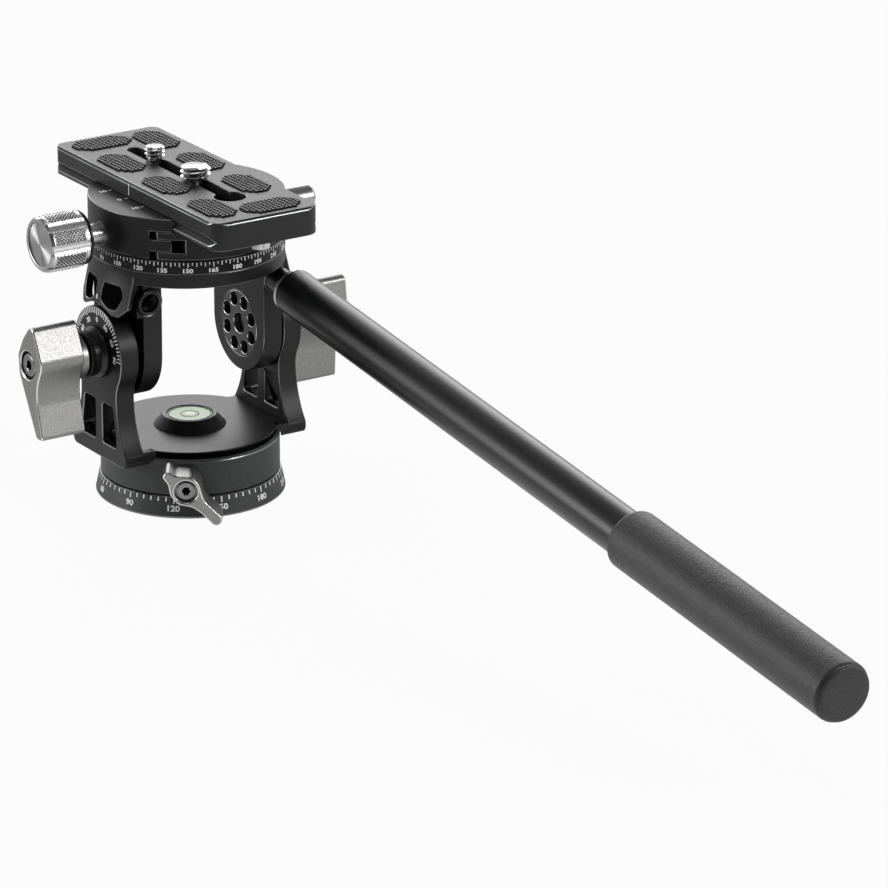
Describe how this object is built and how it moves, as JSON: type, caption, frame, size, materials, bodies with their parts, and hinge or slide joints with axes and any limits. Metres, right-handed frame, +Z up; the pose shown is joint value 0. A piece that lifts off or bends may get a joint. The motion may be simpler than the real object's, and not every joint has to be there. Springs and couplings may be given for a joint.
{
  "type": "pan tilt tripod head",
  "caption": "Two-way pan and tilt tripod head with a graduated panning base, tilting bridge, panning plate clamp, sliding quick-release plate, lever locks and a long foam-grip handle.",
  "frame": {"origin": "centre of the tripod socket's mouth, on the foot of the base ring", "axes": "+Z up along the pan axis; X along the tilt axis, +X on the side of the handle; the handle points to the front, -Y"},
  "size_m": [0.1108, 0.3673, 0.1071],
  "materials": {
    "black_anodised": "satin black anodised aluminium",
    "black_gloss": "gloss black",
    "black_plastic": "satin black plastic",
    "titanium_grey": "bead-blasted grey anodised aluminium",
    "bright_metal": "turned and brushed",
    "chrome_screw": "polished",
    "steel": "plain turned steel",
    "brass": "plain turned brass",
    "slip_washer": "low-friction plastic",
    "pad_rubber": "matte rubber with a diamond pattern",
    "level_green": "clear green liquid under a clear lens",
    "grip_foam": "matte dark grey foam"
  },
  "bodies": {
    "base": {"base_ring": "black_anodised", "tripod_insert": "brass", "pan_spindle": "steel", "pan_thrust_washer": "slip_washer", "pan_retainer": "steel", "pan_retainer_screw": "steel"},
    "pan_head": {"pan_housing": "black_anodised", "yoke": "black_anodised", "yoke_screws": "steel", "pan_brake_shoe": "brass", "level_bezel": "black_plastic", "level_vial": "level_green", "tilt_bush_left": "black_gloss", "tilt_bush_right": "black_gloss", "tilt_washer_left": "slip_washer", "tilt_washer_right": "slip_washer"},
    "pan_lock": {"pan_lock_wing": "titanium_grey", "pan_lock_stud": "steel", "pan_lock_cap_screw": "chrome_screw"},
    "tilt_lock_left": {"tilt_knob_left": "titanium_grey", "tilt_stud_left": "steel", "tilt_cap_screw_left": "chrome_screw"},
    "tilt_lock_right": {"tilt_knob_right": "titanium_grey", "tilt_stud_right": "steel", "tilt_cap_screw_right": "chrome_screw"},
    "bridge": {"bridge": "black_anodised", "bridge_arm_left": "black_anodised", "bridge_arm_right": "black_anodised", "upper_scale_ring": "black_anodised", "tilt_disc_left": "bright_metal", "tilt_disc_right": "bright_metal", "handle_socket_left": "black_gloss", "handle_socket_right": "black_gloss", "top_spindle": "steel", "top_spindle_screw": "steel", "top_retainer": "steel", "top_retainer_screw": "steel", "top_thrust_washer": "slip_washer"},
    "clamp": {"clamp_body": "black_anodised", "clamp_guide_pins": "steel", "upper_brake_shoe": "brass"},
    "jaw": {"clamp_jaw": "black_anodised"},
    "clamp_knob": {"clamp_knob": "bright_metal", "clamp_knob_ring": "black_gloss", "clamp_screw": "bright_metal"},
    "upper_lock": {"upper_lock_stud": "steel", "upper_lock_knob": "bright_metal"},
    "plate": {"quick_plate": "black_anodised", "plate_pads": "pad_rubber", "plate_stop_screws": "chrome_screw"},
    "small_clip": {"small_screw_clip": "steel"},
    "small_screw": {"camera_screw_small": "chrome_screw"},
    "large_clip": {"large_screw_clip": "steel"},
    "large_screw": {"camera_screw_large": "chrome_screw"},
    "handle": {"handle_stud": "steel", "handle_neck": "black_gloss", "handle_collar": "bright_metal", "handle_tube": "black_gloss", "handle_grip": "grip_foam", "handle_end_cap": "black_plastic"}
  },
  "joints": [
    {"name": "pan", "type": "hinge", "parent": "base", "child": "pan_head", "pos_m": [0, 0, 0.013], "axis": [0, 0, 1], "continuous": true},
    {"name": "pan_lock_turn", "type": "hinge", "parent": "pan_head", "child": "pan_lock", "pos_m": [0, 0, 0.0129], "axis": [-0.5373, -0.8434, 0], "range_deg": [0, 180]},
    {"name": "tilt_lock_left_turn", "type": "hinge", "parent": "pan_head", "child": "tilt_lock_left", "pos_m": [-0.045, 0, 0.051], "axis": [-1, 0, 0], "range_deg": [-20, 180]},
    {"name": "tilt_lock_right_turn", "type": "hinge", "parent": "pan_head", "child": "tilt_lock_right", "pos_m": [0.045, 0, 0.051], "axis": [1, 0, 0], "range_deg": [-20, 180]},
    {"name": "tilt", "type": "hinge", "parent": "pan_head", "child": "bridge", "pos_m": [0, 0, 0.051], "axis": [1, 0, 0], "range_deg": [-80, 60]},
    {"name": "handle_screw", "type": "hinge", "parent": "bridge", "child": "handle", "pos_m": [0.0228, -0.0158, 0.0692], "axis": [0, -0.9923, -0.1236], "continuous": true},
    {"name": "upper_pan", "type": "hinge", "parent": "bridge", "child": "clamp", "pos_m": [0, 0, 0.088], "axis": [0, 0, 1], "continuous": true},
    {"name": "jaw_slide", "type": "slide", "parent": "clamp", "child": "jaw", "axis": [-1, 0, 0], "range_m": [0, 0.003]},
    {"name": "clamp_knob_turn", "type": "hinge", "parent": "jaw", "child": "clamp_knob", "pos_m": [-0.045, 0, 0.0891], "axis": [-1, 0, 0], "range_deg": [0, 1350]},
    {"name": "upper_lock_turn", "type": "hinge", "parent": "clamp", "child": "upper_lock", "pos_m": [0.04, 0, 0.0883], "axis": [1, 0, 0], "range_deg": [-90, 360]},
    {"name": "plate_slide", "type": "slide", "parent": "clamp", "child": "plate", "axis": [0, 1, 0], "range_m": [-0.0115, 0.0095]},
    {"name": "small_clip_slide", "type": "slide", "parent": "plate", "child": "small_clip", "axis": [0, 1, 0], "range_m": [-0.006, 0.009]},
    {"name": "small_screw_spin", "type": "hinge", "parent": "small_clip", "child": "small_screw", "pos_m": [0, 0.0193, 0.1], "axis": [0, 0, 1], "continuous": true},
    {"name": "large_clip_slide", "type": "slide", "parent": "plate", "child": "large_clip", "axis": [0, 1, 0], "range_m": [-0.014, 0.006]},
    {"name": "large_screw_spin", "type": "hinge", "parent": "large_clip", "child": "large_screw", "pos_m": [0, -0.0056, 0.1], "axis": [0, 0, 1], "continuous": true}
  ],
  "couplings": [
    {"joint": "jaw_slide", "follows": "clamp_knob_turn", "m_per_rad": 0.00012732}
  ]
}
